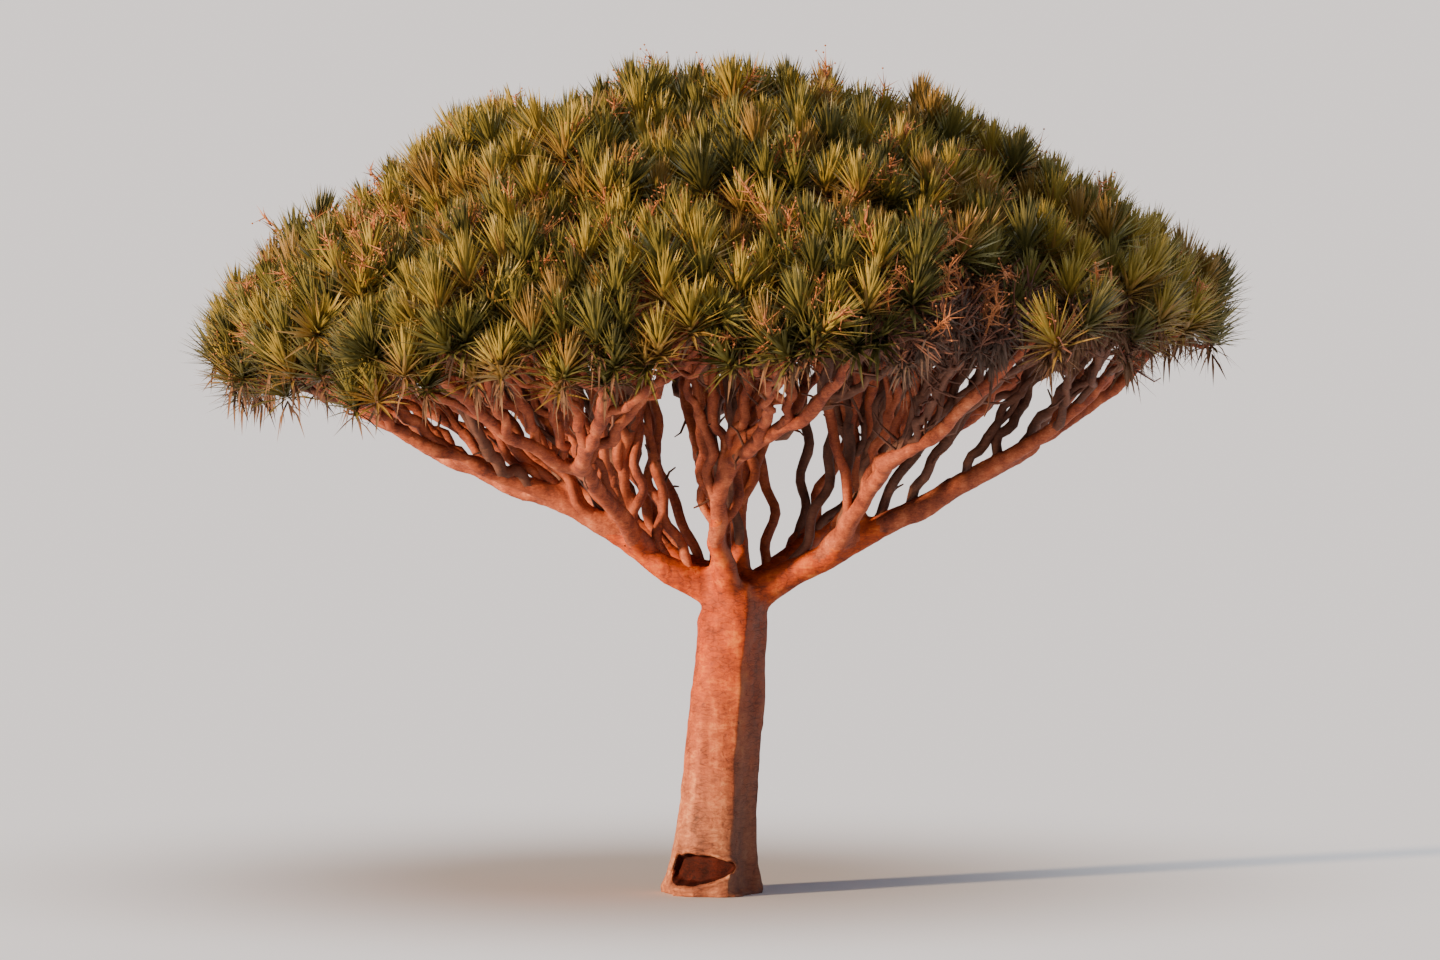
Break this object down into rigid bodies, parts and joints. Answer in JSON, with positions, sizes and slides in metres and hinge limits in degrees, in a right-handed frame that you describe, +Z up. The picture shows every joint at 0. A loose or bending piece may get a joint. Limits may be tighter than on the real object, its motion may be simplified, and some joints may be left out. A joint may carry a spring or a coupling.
{
  "type": "dragon blood tree",
  "caption": "Dragon blood tree with a stout leaning trunk, boughs that spread like umbrella ribs and a broad domed crown of stiff leaf rosettes.",
  "frame": {"origin": "middle of the flat cut under the trunk, at ground level", "axes": "+Z up along the trunk, +X to the viewer's right and +Y away from the viewer of the picture"},
  "size_m": [7.6129, 7.5765, 6.1667],
  "materials": {
    "bark": "matt, smooth grey-red bark",
    "leaf": "satin, stiff sword leaves"
  },
  "bodies": {
    "root": {"bough_right": "bark", "bough_back": "bark", "bough_front": "bark", "bough_centre": "bark", "bough_left": "bark", "bough_left_front": "bark", "bough_left_back": "bark", "bough_left_upright": "bark", "bough_right_back": "bark", "bough_right_front": "bark", "bough_right_upright": "bark", "leaf_mass_top": "leaf", "leaf_mass_middle_1": "leaf", "leaf_mass_middle_2": "leaf", "leaf_mass_middle_3": "leaf", "leaf_mass_middle_4": "leaf", "leaf_mass_middle_5": "leaf", "leaf_mass_middle_6": "leaf", "leaf_mass_outer_1": "leaf", "leaf_mass_outer_2": "leaf", "leaf_mass_outer_3": "leaf", "leaf_mass_outer_4": "leaf", "leaf_mass_outer_5": "leaf", "leaf_mass_outer_6": "leaf", "leaf_mass_outer_7": "leaf", "leaf_mass_outer_8": "leaf", "leaf_mass_outer_9": "leaf", "leaf_mass_outer_10": "leaf", "leaf_mass_outer_11": "leaf", "leaf_mass_outer_12": "leaf", "leaf_mass_outer_13": "leaf", "limb_top": "bark", "limb_middle_1": "bark", "limb_middle_2": "bark", "limb_middle_3": "bark", "limb_middle_4": "bark", "limb_middle_5": "bark", "limb_middle_6": "bark", "limb_outer_1": "bark", "limb_outer_2": "bark", "limb_outer_3": "bark", "limb_outer_4": "bark", "limb_outer_5": "bark", "limb_outer_6": "bark", "limb_outer_7": "bark", "limb_outer_8": "bark", "limb_outer_9": "bark", "limb_outer_10": "bark", "limb_outer_11": "bark", "limb_outer_12": "bark", "limb_outer_13": "bark", "trunk": "bark"}
  },
  "joints": []
}
